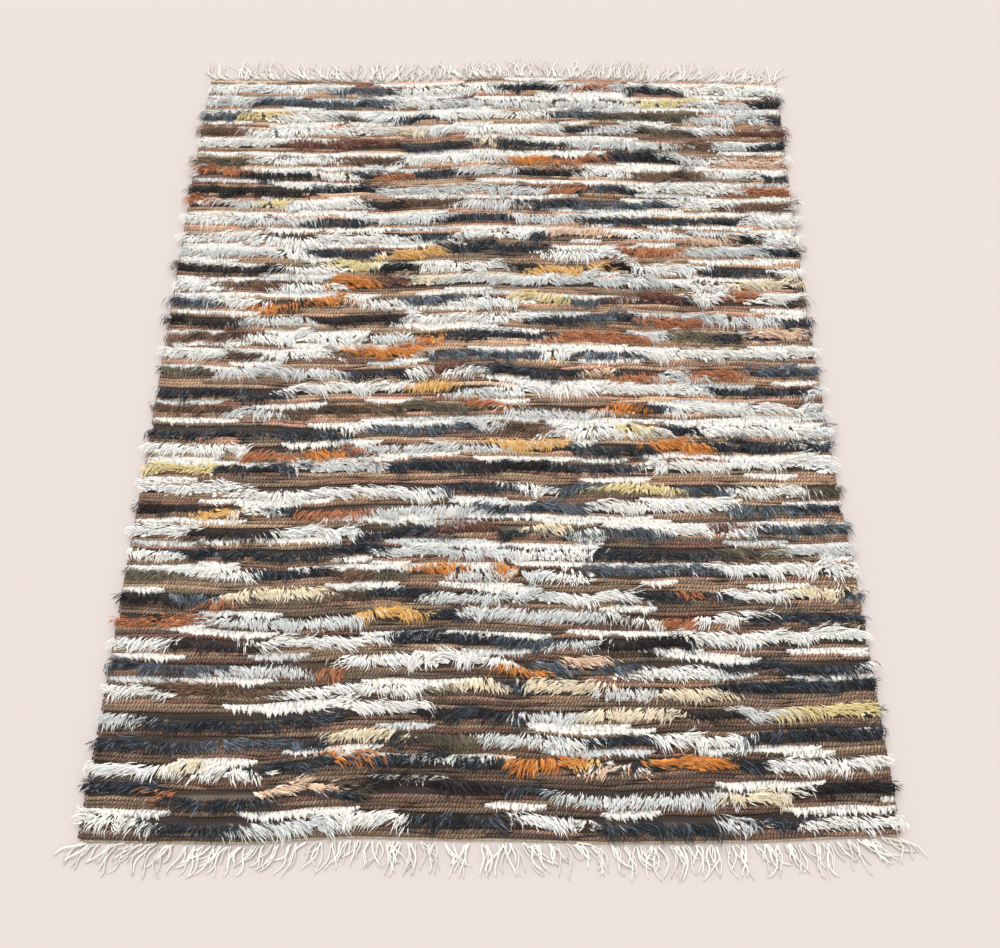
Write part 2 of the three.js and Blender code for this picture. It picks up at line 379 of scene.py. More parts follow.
def along_paths(shape, points, radii, flatness=1.0):
    """Rods swept along many paths. points is copies by levels by 3, radii is copies by levels."""
    levels = points.shape[1]
    level = np.rint(shape.corners[:, 2] * (levels - 1)).astype(int)
    ahead = np.gradient(points, axis=1)
    ahead /= np.linalg.norm(ahead, axis=2, keepdims=True) + 1e-12
    sideways = np.cross(np.array([0, 0, 1.0]), ahead)
    sideways /= np.linalg.norm(sideways, axis=2, keepdims=True) + 1e-12
    upwards = np.cross(ahead, sideways)
    radius = radii[:, level, None]
    across = shape.corners[None, :, 0, None] * radius
    out = shape.corners[None, :, 1, None] * radius * flatness
    places = points[:, level] + sideways[:, level] * across + upwards[:, level] * out
    places[:, :, 2] = np.maximum(places[:, :, 2], FLOOR_CLEAR)
    return places


UPWARD_SHARE = 2.6


def soften_normals(mesh):
    """Leans normals upwards, so that thin hairs shade as one soft surface, as wool does."""
    normals = np.empty(3 * len(mesh.vertices), np.float32)
    mesh.vertex_normals.foreach_get("vector", normals)
    leaning = normals.reshape(-1, 3) + np.array([0, 0, UPWARD_SHARE], np.float32)
    leaning /= np.linalg.norm(leaning, axis=1, keepdims=True) + 1e-6
    mesh.normals_split_custom_set_from_vertices(leaning)


def strand_values(shape, copies):
    """For each corner, how far round and along its strand it lies, and the strand's own seed."""
    around = np.arctan2(shape.corners[:, 1], shape.corners[:, 0]) / np.pi
    seeds = rng.random(copies)
    values = np.empty((copies, len(around), 3))
    values[:, :, 0] = np.abs(around)
    values[:, :, 1] = shape.corners[:, 2]
    values[:, :, 2] = seeds[:, None]
    return values


# %% Strand colours
def linear(colour):
    """Linear colour from the usual 0 to 255 numbers."""
    share = np.asarray(colour, float) / 255
    return np.where(share <= 0.04045, share / 12.92, ((share + 0.055) / 1.055) ** 2.4)


BASES = np.array([linear(YARNS[n].base) for n in YARN_NAMES])
GLINTS = np.array([linear(YARNS[n].glint) for n in YARN_NAMES])
GLINT_SHARES = np.array([YARNS[n].glint_share for n in YARN_NAMES])
SPREADS = np.array([YARNS[n].spread for n in YARN_NAMES])
BRIGHTEST = 0.95


def yarn_colours(numbers):
    """A colour for each strand: mostly the yarn's base, some strands catching the light."""
    glint = rng.random(len(numbers)) < GLINT_SHARES[numbers]
    mixed = np.where(glint, rng.uniform(0.5, 1, len(numbers)), rng.uniform(0, 0.25, len(numbers)))
    colour = BASES[numbers] + (GLINTS[numbers] - BASES[numbers]) * mixed[:, None]
    shade = 1 + SPREADS[numbers] * rng.uniform(-1, 1, len(numbers))
    tint = 1 + 0.03 * rng.normal(0, 1, (len(numbers), 3))
    return np.clip(colour * shade[:, None] * tint, 0, BRIGHTEST)


print("brightest yarn, linear:", BASES.max().round(3), "darkest:", BASES.min().round(4))

# %% [markdown]
# ## Finishes
# Wool shows its fibres as fine streaks along each lock, partly the fibres' own tone and partly
# painted shade between them. The colour is also made darker where the lock goes down into the
# pile: painted shade. A node group makes the streaks and this shade from the strand attribute, so
# they follow each curl. A second group makes the ribs of the wrapped rolls in the same way, with
# painted shade in the gaps between the ribs. Each material keeps its own Principled shader and sets
# the groups' values for its own yarn.

# %% Helpers for node groups
def link(tree, source, target):
    """Joins an output to an input."""
    tree.links.new(source, target)


def maths_node(tree, operation, first, second=0.0):
    """A maths node whose inputs are values or other nodes' outputs."""
    node = tree.nodes.new("ShaderNodeMath")
    node.operation = operation
    for socket, value in zip(node.inputs, (first, second)):
        if isinstance(value, (int, float)):
            socket.default_value = value
        else:
            link(tree, value, socket)
    return node.outputs[0]


def noise_node(tree, scale, vector):
    """A noise texture read at the places that a vector gives."""
    node = tree.nodes.new("ShaderNodeTexNoise")
    node.inputs["Scale"].default_value = scale
    link(tree, vector, node.inputs["Vector"])
    return node


def scaled(tree, colour, factor):
    """A colour times a value."""
    node = tree.nodes.new("ShaderNodeVectorMath")
    node.operation = "SCALE"
    link(tree, colour, node.inputs[0])
    link(tree, factor, node.inputs["Scale"])
    return node.outputs[0]


def paleness(tree, colour):
    """How pale a colour is, from 0 to 1."""
    node = tree.nodes.new("ShaderNodeRGBToBW")
    link(tree, colour, node.inputs[0])
    return node.outputs[0]


def bumped(tree, height, distance, strength=1.0, normal=None):
    """A normal raised by a height, on top of another one where it is given."""
    node = tree.nodes.new("ShaderNodeBump")
    node.inputs["Strength"].default_value = strength
    node.inputs["Distance"].default_value = distance
    link(tree, height, node.inputs["Height"])
    if normal is not None:
        link(tree, normal, node.inputs["Normal"])
    return node.outputs["Normal"]


def started_material(name, roughness, sheen=0.0):
    """A new material, its node tree and its Principled shader."""
    material = bpy.data.materials.new(name)
    material.use_nodes = True
    shader = material.node_tree.nodes["Principled BSDF"]
    shader.inputs["Roughness"].default_value = roughness
    shader.inputs["Sheen Weight"].default_value = sheen
    return material, material.node_tree, shader


def started_group(name, values=()):
    """A group that takes a colour, a strand and some values, with the strand taken apart."""
    tree = bpy.data.node_groups.new(name, "ShaderNodeTree")
    face = tree.interface
    face.new_socket("Colour", in_out="INPUT", socket_type="NodeSocketColor")
    face.new_socket("Strand", in_out="INPUT", socket_type="NodeSocketVector")
    for socket, value in values:
        face.new_socket(socket, in_out="INPUT", socket_type="NodeSocketFloat").default_value = value
    face.new_socket("Colour", in_out="OUTPUT", socket_type="NodeSocketColor")
    face.new_socket("Height", in_out="OUTPUT", socket_type="NodeSocketFloat")
    given = tree.nodes.new("NodeGroupInput")
    parts = tree.nodes.new("ShaderNodeSeparateXYZ")
    link(tree, given.outputs["Strand"], parts.inputs[0])
    return tree, given.outputs, parts.outputs


def ended_group(tree, colour, shade, height):
    """The group with what it puts out: the colour times its shade, and a height for the bump."""
    result = tree.nodes.new("NodeGroupOutput")
    link(tree, scaled(tree, colour, shade), result.inputs["Colour"])
    link(tree, height, result.inputs["Height"])
    return tree


# %% The fibre group
SEED_STEP = 97.0
# How far along a lock the painted shade at its root reaches.
ROOT_SHADE_REACH = 0.55


def fibre_group():
    """Fine streaks along a strand, partly painted shade, and painted shade at its root; pale yarns show
    less.
    """
    values = (("Streaks", 5.0), ("Contrast", 0.4), ("Root shade", 0.5), ("Twist", 0.0))
    tree, given, (around, along, seed) = started_group("yarn fibres", values)
    maths = partial(maths_node, tree)
    turned = maths("ADD", around, maths("MULTIPLY", along, given["Twist"]))
    place = tree.nodes.new("ShaderNodeCombineXYZ")
    link(tree, maths("MULTIPLY", turned, given["Streaks"]), place.inputs[0])
    link(tree, maths("MULTIPLY", along, 1.3), place.inputs[1])
    link(tree, maths("MULTIPLY", seed, SEED_STEP), place.inputs[2])
    noise = noise_node(tree, 1.6, place.outputs[0])
    noise.inputs["Detail"].default_value = 2.0
    noise.inputs["Roughness"].default_value = 0.6
    streak = noise.outputs["Fac"]
    # The streaks are partly the fibres' own tone and partly painted shade between fibres.
    depth = maths("SUBTRACT", 1.0, maths("MULTIPLY", paleness(tree, given["Colour"]), 0.98))
    contrast = maths("MULTIPLY", given["Contrast"], maths("MULTIPLY", depth, 2.0))
    light = maths("ADD", maths("MULTIPLY", maths("SUBTRACT", streak, 0.5), contrast), 1.0)
    # Painted shade: the colour darkens towards the root of each lock, less on pale yarns.
    rooted = tree.nodes.new("ShaderNodeMapRange")
    rooted.interpolation_type = "SMOOTHSTEP"
    rooted.inputs["From Max"].default_value = ROOT_SHADE_REACH
    link(tree, along, rooted.inputs["Value"])
    root_shade = maths("MULTIPLY", given["Root shade"], depth)
    link(tree, maths("SUBTRACT", 1.0, root_shade), rooted.inputs["To Min"])
    return ended_group(tree, given["Colour"], maths("MULTIPLY", light, rooted.outputs[0]), streak)


FIBRES = fibre_group()
print("nodes in the fibre group:", len(FIBRES.nodes))

# %% The ribs group
RIB_SLANT = 0.9
RIB_STRAY = 1.8
RIB_FULLNESS = 0.8


def wraps_group():
    """Ribs across a roll, one for each whole number along the strand, each with its own tone, and painted
    shade in the gaps between them.
    """
    tree, given, (around, along, seed) = started_group("wrapped ribs")
    maths = partial(maths_node, tree)
    uneven = noise_node(tree, 0.7, given["Strand"]).outputs["Fac"]
    along = maths("ADD", along, maths("MULTIPLY", around, RIB_SLANT))
    along = maths("ADD", along, maths("MULTIPLY", uneven, RIB_STRAY))
    swell = maths("ABSOLUTE", maths("SINE", maths("MULTIPLY", along, np.pi)))
    height = maths("POWER", swell, RIB_FULLNESS)
    rib = tree.nodes.new("ShaderNodeCombineXYZ")
    link(tree, maths("FLOOR", along), rib.inputs[0])
    link(tree, seed, rib.inputs[1])
    chance = tree.nodes.new("ShaderNodeTexWhiteNoise")
    link(tree, rib.outputs[0], chance.inputs["Vector"])
    mottle = noise_node(tree, 0.13, given["Strand"]).outputs["Fac"]
    slow = maths("ADD", 0.55, maths("MULTIPLY", mottle, 0.85))
    quick = maths("ADD", 0.9, maths("MULTIPLY", chance.outputs["Value"], 0.16))
    # Painted shade in the gaps between ribs, weaker on pale yarns.
    depth = maths("SUBTRACT", 0.9, maths("MULTIPLY", paleness(tree, given["Colour"]), 0.8))
    painted_gap_shade = maths("MULTIPLY", maths("SUBTRACT", 1.0, height), depth)
    shade = maths("MULTIPLY", maths("MULTIPLY", slow, quick), maths("SUBTRACT", 1.0, painted_gap_shade))
    return ended_group(tree, given["Colour"], shade, height)


WRAPS = wraps_group()
print("nodes in the ribs group:", len(WRAPS.nodes))


# %% The yarn finishes
FIBRE_DEPTH = 0.0006
RIB_DEPTH = 0.004


def group_node(tree, group, colour, strand):
    """A group at work in a material, on a colour and a strand."""
    node = tree.nodes.new("ShaderNodeGroup")
    node.node_tree = group
    link(tree, colour, node.inputs["Colour"])
    link(tree, strand, node.inputs["Strand"])
    return node


def yarn_material(
    name, roughness, sheen, streaks, contrast, root_shade, twist=0.0, bump=0.4, ribs=False
):
    """A yarn finish whose colour comes from the mesh's yarn attribute."""
    material, tree, shader = started_material(name, roughness, sheen)
    shader.inputs["Sheen Roughness"].default_value = 0.45
    shader.inputs["Specular IOR Level"].default_value = 0.25
    colour = tree.nodes.new("ShaderNodeAttribute")
    colour.attribute_name = "yarn"
    strand = tree.nodes.new("ShaderNodeAttribute")
    strand.attribute_name = "strand"
    strand = strand.outputs["Vector"]
    fibres = group_node(tree, FIBRES, colour.outputs["Color"], strand)
    for socket, value in (
        ("Streaks", streaks), ("Contrast", contrast), ("Root shade", root_shade), ("Twist", twist),
    ):
        fibres.inputs[socket].default_value = value
    coloured = fibres.outputs["Colour"]
    raised = bumped(tree, fibres.outputs["Height"], FIBRE_DEPTH, bump)
    if ribs:
        wraps = group_node(tree, WRAPS, coloured, strand)
        coloured = wraps.outputs["Colour"]
        raised = bumped(tree, wraps.outputs["Height"], RIB_DEPTH, normal=raised)
    link(tree, coloured, shader.inputs["Base Color"])
    link(tree, raised, shader.inputs["Normal"])
    return material


PILE_WOOL = yarn_material(
    "long pile wool", roughness=0.6, sheen=0.05, streaks=5.0, contrast=0.55, root_shade=0.5, bump=0.3
)
RAG_WRAP = yarn_material(
    "rag wraps", roughness=0.9, sheen=0.1, streaks=3.0, contrast=0.3, root_shade=0.0, ribs=True
)
COTTON = yarn_material(
    "fringe cotton", roughness=0.85, sheen=0.15, streaks=2.0, contrast=0.22, root_shade=0.08,
    twist=9.0, bump=0.8,
)
print("finishes:", [m.name for m in bpy.data.materials])

# %% [markdown]
# ## The woven ground
# Under the yarns lies a plain firm weave, which shows on the underside and as a dark line between
# rows. Its browns are kept dark, partly its own colour and partly painted shade between the rows.
# It is a grid with thickness, so it is a true cloth: flat where the floor is. The rows' yarns
# show through from above as a slow change of tone.

# %% The woven ground
GROUND_COLUMNS = 60
GROUND_LINES = 80


def mesh_of(bm, name):
    """A mesh with the shape of a bmesh, which is freed."""
    mesh = bpy.data.meshes.new(name)
    bm.to_mesh(mesh)
    bm.free()
    return mesh


def woven_ground():
    """The cloth under the yarns, with the rug's wandering outline."""
    bm = bmesh.new()
    bmesh.ops.create_grid(bm, x_segments=GROUND_COLUMNS, y_segments=GROUND_LINES, size=0.5)
    for v in bm.verts:
        x, y = plan(v.co.x + 0.5, v.co.y + 0.5)
        v.co = (float(x), float(y), 0)
    bmesh.ops.solidify(bm, geom=bm.faces[:], thickness=GROUND_TOP)
    lowest = min(v.co.z for v in bm.verts)
    bmesh.ops.translate(bm, verts=bm.verts, vec=(0, 0, FLOOR_CLEAR - lowest))
    bmesh.ops.recalc_face_normals(bm, faces=bm.faces[:])
    return placed("woven_ground", mesh_of(bm, "woven_ground"))


ground = woven_ground()
print("ground faces:", len(ground.data.polygons))

# %% The finish of the ground
# Browns of the ground, kept dark: partly its own colour and partly painted shade between the rows.
GROUND_TONES_AND_SHADE = (
    (0.25, (40, 34, 32)), (0.42, (72, 56, 45)), (0.55, (92, 72, 57)), (0.68, (150, 138, 124)),
)
TONE_STRETCH = (3.0, 40.0, 1.0)
DEEPEST_SHADE = 0.45
WEAVE_DEPTH = 0.002


def threads(tree, place, direction, scale, distortion, detail):
    """Even threads that run one way over the cloth."""
    node = tree.nodes.new("ShaderNodeTexWave")
    node.bands_direction = direction
    node.inputs["Scale"].default_value = scale
    node.inputs["Distortion"].default_value = distortion
    node.inputs["Detail"].default_value = detail
    link(tree, place, node.inputs["Vector"])
    return node.outputs["Fac"]


def weave_material():
    """Brown weft ribs across the rug and warps along it, darker between the threads: painted shade."""
    material, tree, shader = started_material("woven back", roughness=0.92, sheen=0.15)
    nodes = tree.nodes
    place = nodes.new("ShaderNodeTexCoord").outputs["Object"]
    ribs = threads(tree, place, "Y", scale=90, distortion=1.2, detail=1.0)
    warps = threads(tree, place, "X", scale=52, distortion=0.8, detail=2.0)
    stretched = nodes.new("ShaderNodeMapping")
    stretched.inputs["Scale"].default_value = TONE_STRETCH
    link(tree, place, stretched.inputs["Vector"])
    tones = noise_node(tree, 1.0, stretched.outputs[0])
    tones.inputs["Detail"].default_value = 3.0
    ramp = nodes.new("ShaderNodeValToRGB")
    while len(ramp.color_ramp.elements) < len(GROUND_TONES_AND_SHADE):
        ramp.color_ramp.elements.new(0.5)
    for element, (at, colour) in zip(ramp.color_ramp.elements, GROUND_TONES_AND_SHADE):
        element.position = at
        element.color = (*linear(colour), 1)
    link(tree, tones.outputs["Fac"], ramp.inputs[0])
    woven = maths_node(tree, "MULTIPLY", ribs, warps)
    shade = nodes.new("ShaderNodeMapRange")
    shade.inputs["To Min"].default_value = DEEPEST_SHADE
    link(tree, woven, shade.inputs["Value"])
    link(tree, scaled(tree, ramp.outputs[0], shade.outputs[0]), shader.inputs["Base Color"])
    link(tree, bumped(tree, woven, WEAVE_DEPTH), shader.inputs["Normal"])
    return material


ground.data.materials.append(weave_material())
print("tones of the ground:", len(GROUND_TONES_AND_SHADE))

# %% [markdown]
# ## Low bands
# Between two rows of pile the weft is wrapped round the warps, which makes low rolls with ribs
# 6 mm apart. Most are brown rag. Here and there the weaver wraps a thick white yarn instead, which
# stands a little higher and is hairy. Each run of one yarn is a rod that thins at its ends. The
# ribs are a finish: as shapes they would take the faces that the pile needs.

# %% Rolls and their yarns
RIB_PITCH = 0.0063
ROLL_STEPS = 6
ROLL_OVERLAP = 0.007
SELVEDGE_LOOP = 0.004
LOOP_END = 0.8
RUN_END = 0.25
Roll = namedtuple("Roll", "share white_chance")
LowRun = namedtuple("LowRun", "row share start end yarn")
ROLLS = (Roll(0.13, 0.0), Roll(0.64, 0.40), Roll(0.81, 0.44), Roll(0.97, 0.22))
FIRST_ROLLS = (Roll(-0.25, 0.0), Roll(-0.09, 0.0))
BROWN_ROLL = {"radius": 0.0048, "flatness": 0.9}
WHITE_ROLL = {"radius": 0.0082, "flatness": 0.6}
WHITE_RUN = (0.07, 0.24)
BROWN_RUN = (0.08, 0.30)
WHITE_AT_NEAR_END = 0.5
WHITE_GAIN = 0.95
ROLL_LIFT = 0.0012
ROLL_WAVER = 0.0015
LOW_YARNS = ("white", "white", "white", "white", "grey")
LOW_YARN_TONE = 0.8
RAGS = linear([
    (150, 122, 98), (132, 106, 86), (164, 128, 108), (120, 104, 86),
    (142, 118, 98), (104, 84, 70), (168, 142, 116), (126, 92, 76),
])
RAG_TONE = ((0.0, 0.95), (0.25, 1.5), (0.5, 2.4), (1.0, 2.5))
ROLL_ROD = rod_shape(5, ROLL_STEPS, pointed=False)
print("rolls to a row:", len(ROLLS), "faces of a roll:", len(ROLL_ROD.sizes))


# %% Low bands
def roll_runs(white_chance):
    """Runs along one roll: where each starts and ends in metres, and whether it is white."""
    runs, at = [], 0.0
    while at < WIDTH:
        is_white = rng.random() < white_chance
        length = rng.uniform(*(WHITE_RUN if is_white else BROWN_RUN))
        runs.append((at, min(at + length, WIDTH), is_white))
        at += length
    return runs


def roll_places(row, share, start, end, kind):
    """Where the corners of one roll go. It thins at its ends and wanders with its row."""
    t = np.linspace(0, 1, ROLL_STEPS + 1)
    distance = start - ROLL_OVERLAP + (end - start + 2 * ROLL_OVERLAP) * t
    loop = SELVEDGE_LOOP / WIDTH
    across = np.clip(distance / WIDTH, -loop, 1 + loop)
    first_end = LOOP_END if start == 0 else RUN_END
    last_end = LOOP_END if end == WIDTH else RUN_END
    ends = np.interp(t, (0, 0.13, 0.3, 0.7, 0.87, 1), (first_end, 0.8, 1, 1, 0.8, last_end))
    x, y = plan(across, along_of(row, share))
    stretch = (plan(across, along_of(row, share + 0.2))[1] - y) / (0.2 * ROW_PITCH)
    y = y + ROLL_WAVER * wander(12 * across, 2 * row + share, 5)
    size = 1 + 0.10 * wander(11 * across, row + share, 3) + rng.normal(0, 0.03, len(t))
    radii = kind["radius"] * size * ends * np.clip(stretch, 0.8, 1.3)
    points = np.stack([x, y, np.full(len(t), GROUND_TOP + ROLL_LIFT)], axis=1)
    return along_paths(ROLL_ROD, points[None], radii[None], kind["flatness"])


def rag_colour(far_share):
    """One of the rags, paler towards the far end."""
    tone = np.interp(far_share, *zip(*RAG_TONE))
    return RAGS[rng.integers(len(RAGS))][None] * tone * rng.uniform(0.8, 1.2)


def rib_values(start, end):
    """The strand values of one roll, which count its ribs from end to end."""
    values = strand_values(ROLL_ROD, 1)
    values[:, :, 1] = 1 + values[:, :, 1] * (end - start) / RIB_PITCH
    return values


def low_bands(piece_name, lines):
    """The rolls on some lines as one piece, and the list of their white runs."""
    places, colours, strands, white = [], [], [], []
    for row, roll in lines:
        far_share = row / PILE_ROWS
        white_chance = roll.white_chance * (WHITE_AT_NEAR_END + WHITE_GAIN * far_share)
        for start, end, is_white in roll_runs(white_chance):
            kind = WHITE_ROLL if is_white else BROWN_ROLL
            places.append(roll_places(row, roll.share, start, end, kind))
            if is_white:
                name = LOW_YARNS[rng.integers(len(LOW_YARNS))]
                white.append(LowRun(row, roll.share, start, end, name))
                colours.append(BASES[[YARN_NAMES.index(name)]] * LOW_YARN_TONE)
            else:
                colours.append(rag_colour(far_share))
            strands.append(rib_values(start, end))
    places, colours, strands = map(np.concatenate, (places, colours, strands))
    return joined(piece_name, ROLL_ROD, places, colours, strands, RAG_WRAP), white


MIDDLE_ROW = PILE_ROWS // 2
first_lines = [(0, roll) for roll in FIRST_ROLLS]
row_lines = [[(row, roll) for roll in ROLLS] for row in range(PILE_ROWS)]
near_band, near_white = low_bands("low_bands_near", first_lines + sum(row_lines[:MIDDLE_ROW], []))
far_band, far_white = low_bands("low_bands_far", sum(row_lines[MIDDLE_ROW:], []))
bands = [near_band, far_band]
white_runs = near_white + far_white
print("white runs in the low bands:", len(white_runs))

# %% [markdown]
# ## The long pile
# Each row is knotted with long wool that falls towards the near end, swept to one side or the other
# as the rug was shaken out. Wool clings together, so it is swept in clumps whose tips draw close.
# Round locks of many faces would use up the model's limit long before the pile looks soft. So wide
# flat wisps make its body, and fine bent hairs of six faces each lie over them. Each hair follows a
# random stretch of a swept path, and together they show the curls. The white runs of the low bands
# get short wool of the same two kinds.

# %% Coats of the pile
Coat = namedtuple("Coat", "share spread spacing reach rise base radius flatness")
WISP_COATS = (
    Coat(0.27, 0.05, 0.0085, 0.016, 0.003, 0.007, 0.0048, 0.45),
    Coat(0.38, 0.06, 0.0068, 0.018, 0.005, 0.009, 0.0038, 0.42),
    Coat(0.48, 0.07, 0.0075, 0.020, 0.006, 0.011, 0.0032, 0.42),
)
HAIR_COATS = (
    Coat(0.30, 0.08, 0.00260, 0.030, 0.006, 0.009, 0.00092, 0.6),
    Coat(0.40, 0.09, 0.00185, 0.035, 0.008, 0.012, 0.00086, 0.6),
    Coat(0.52, 0.10, 0.00150, 0.040, 0.010, 0.014, 0.00080, 0.6),
)
TUFT_WISPS = Coat(0.11, 0.03, 0.0036, 0.019, 0.003, 0.0090, 0.0046, 0.6)
TUFT_HAIRS = Coat(0.12, 0.07, 0.0140, 0.018, 0.004, 0.0105, 0.0011, 0.6)
print("hairs across one row:", int(sum(WIDTH / coat.spacing for coat in HAIR_COATS)))

# %% Clumps and the way they are combed
PATH_STEPS = 9
TIP_HEIGHT = 0.006
CLUMP_WIDTH = 0.026
CLUMPS = int(WIDTH / CLUMP_WIDTH)
CLUMP_LIE = rng.normal(0, 1, (PILE_ROWS, 4, CLUMPS + 1))
CLUMP_START = rng.random(PILE_ROWS)
CLUMP_DRAW = 0.15
CLUMP_LOFT = 0.13
CLUMP_TURN = 0.28
CLUMP_CURL = 0.7
CLUMP_LIFT = 0.001
# Painted light and shade by clump: how much lighter a higher clump is, and darker a lower one.
PALE_CLUMP_SHADE = 0.05
DARK_CLUMP_SHADE = 0.32
IS_DARK = np.array([name in DARK for name in YARN_NAMES])
PALE_JITTER = 0.11
DARK_JITTER = 0.20
YARN_SLANT = 0.16
RUN_SWEEP = 0.6
COMB_PLACES = (0.0, 0.10, 0.26, 0.85, 1.0)
COMB_TURN = (-1.6, -0.9, 0.35, 0.45, 1.5)
COMB_CHANGE = 1.3
COMB_DEG = 66
TUFT_TONE = 0.83
TUFT_LEAN_DEG = 12
TUFT_LEAN_CHANGE_DEG = 20
RAGGED_CHANGE = 0.003
print("clumps in a row:", CLUMPS)


# %% Paths of the locks
def cells_at(across):
    """The chart's cells at places across a row, with a ragged change from run to run."""
    ragged = across + rng.normal(0, RAGGED_CHANGE, len(across))
    return np.clip((ragged * CELLS).astype(int), 0, CELLS - 1)


def swept_paths(x, y, length, heading, curl, base, rise, draw):
    """Points along each lock: up out of its knot, then over and down the way it is swept."""
    t = np.linspace(0, 1, PATH_STEPS + 1)[None, :]
    angle = heading[:, None] + curl[:, None] * t**1.5
    step = (length / PATH_STEPS)[:, None] * (t > 0)
    points = np.empty((len(x), PATH_STEPS + 1, 3))
    points[:, :, 0] = x[:, None] + np.cumsum(np.sin(angle) * step, axis=1) + draw[:, None] * t
    points[:, :, 1] = y[:, None] - np.cumsum(np.cos(angle) * step, axis=1)
    arch = 3.2 * t * (1 - t) * (1.3 - 0.6 * t)
    points[:, :, 2] = base[:, None] + (TIP_HEIGHT - base)[:, None] * t**2 + rise[:, None] * arch
    return points


def row_paths(row, coat):
    """Paths, yarns and tones of one coat's locks in one row, the tones painted light and shade by clump.
    """
    count = int(WIDTH / coat.spacing)
    across = (np.arange(count) + rng.uniform(0, 1, count)) / count
    share = coat.share + rng.uniform(-coat.spread, coat.spread, count)
    slant = YARN_SLANT * np.tanh(3 * wander(8 * across, 3.3 * row, 23)) * (share - 0.45)
    cell = cells_at(across + slant)
    style = chart[row]
    yarn = style.yarn[cell]
    clump = np.clip((across * CLUMPS + CLUMP_START[row]).astype(int), 0, CLUMPS)
    own_loft, own_turn, own_curl, own_height = CLUMP_LIE[row][:, clump]
    loft = style.loft[cell] * (1 + CLUMP_LOFT * own_loft) * rng.uniform(0.8, 1.2, count)
    turn = smooth_line(across, COMB_PLACES, COMB_TURN)
    turn = turn + COMB_CHANGE * wander(3.4 * across, 1.9 * row, 7)
    jitter = np.where(IS_DARK[yarn], DARK_JITTER, PALE_JITTER)
    heading = np.radians(COMB_DEG) * np.tanh(1.6 * turn) + RUN_SWEEP * style.sweep[cell]
    heading = heading + CLUMP_TURN * own_turn + jitter * rng.normal(0, 1, count)
    inside = np.clip(0.7 + np.minimum(across, 1 - across) / 0.1, 0, 1)
    aslant = 0.68 + 0.36 * np.abs(np.sin(heading))
    middle = (clump + 0.5 - CLUMP_START[row]) / CLUMPS
    x, y = plan(across, along_of(row, share))
    points = swept_paths(
        x, y + style.shift[cell],
        length=coat.reach * inside * np.clip(loft, 0.5, 1.5) * aslant,
        heading=heading,
        curl=CLUMP_CURL * own_curl + rng.normal(0, 0.3, count),
        base=coat.base + CLUMP_LIFT * own_height,
        rise=coat.rise * np.clip(loft, 0.6, 1.35) * rng.uniform(0.7, 1.3, count),
        draw=CLUMP_DRAW * (middle - across) * WIDTH,
    )
    # Painted light and shade: a clump that stands higher is lighter, a lower one darker, dark yarns most.
    depth = np.where(IS_DARK[yarn], DARK_CLUMP_SHADE, PALE_CLUMP_SHADE)
    return points, yarn, 1 + depth * np.clip(own_height, -1.6, 2.2)


def tuft_paths(run, coat):
    """Paths, yarns and tones of the short wool on one white run, shorter towards its ends."""
    length = run.end - run.start
    count = int(length / coat.spacing)
    distance = run.start + length * (np.arange(count) + rng.uniform(0, 1, count)) / count
    full = np.clip(0.3 + np.minimum(distance - run.start, run.end - distance) / 0.035, 0, 1)
    share = run.share + coat.share + rng.uniform(-coat.spread, coat.spread, count) * full
    across = np.clip(distance / WIDTH, 0.001, 0.999)
    x, y = plan(across, along_of(run.row, share))
    lean = TUFT_LEAN_CHANGE_DEG * wander(6 * across, 2.7 * run.row, 31) + TUFT_LEAN_DEG
    points = swept_paths(
        x, y,
        length=coat.reach * full * rng.uniform(0.75, 1.2, count),
        heading=np.radians(lean) + rng.normal(0, 0.25, count),
        curl=rng.normal(0.1, 0.35, count),
        base=coat.base + rng.uniform(-0.0008, 0.0008, count),
        rise=coat.rise * full * rng.uniform(0.7, 1.3, count),
        draw=np.zeros(count),
    )
    return points, np.full(count, YARN_NAMES.index(run.yarn)), np.full(count, TUFT_TONE)


# %% Wool on the rows
SHORTEST_HAIR = 4
LONGEST_HAIR = 6
HAIR_LIFT = 0.0008


def spindle_radii(radius, spread, count):
    """Radii at the three levels of each spindle, each lock a little thicker or thinner."""
    return (radius * rng.uniform(*spread, count))[:, None] * SPINDLE_SWELL


def whole_locks(points, coat):
    """Points and radii of locks that follow their whole paths."""
    picked = points[:, [0, PATH_STEPS // 2, PATH_STEPS]]
    return picked, spindle_radii(coat.radius, (0.65, 1.3), len(points))


def fine_hairs(points, coat):
    """Points and radii of bent hairs, each lying along a random stretch of its path."""
    count = len(points)
    start = rng.integers(0, PATH_STEPS - SHORTEST_HAIR, count)
    end = np.minimum(start + rng.integers(SHORTEST_HAIR, LONGEST_HAIR + 1, count), PATH_STEPS)
    levels = (start, (start + end) // 2, end)
    picked = np.stack([points[np.arange(count), at] for at in levels], axis=1)
    picked[:, :, 2] += HAIR_LIFT
    return picked, spindle_radii(coat.radius, (0.6, 1.4), count)


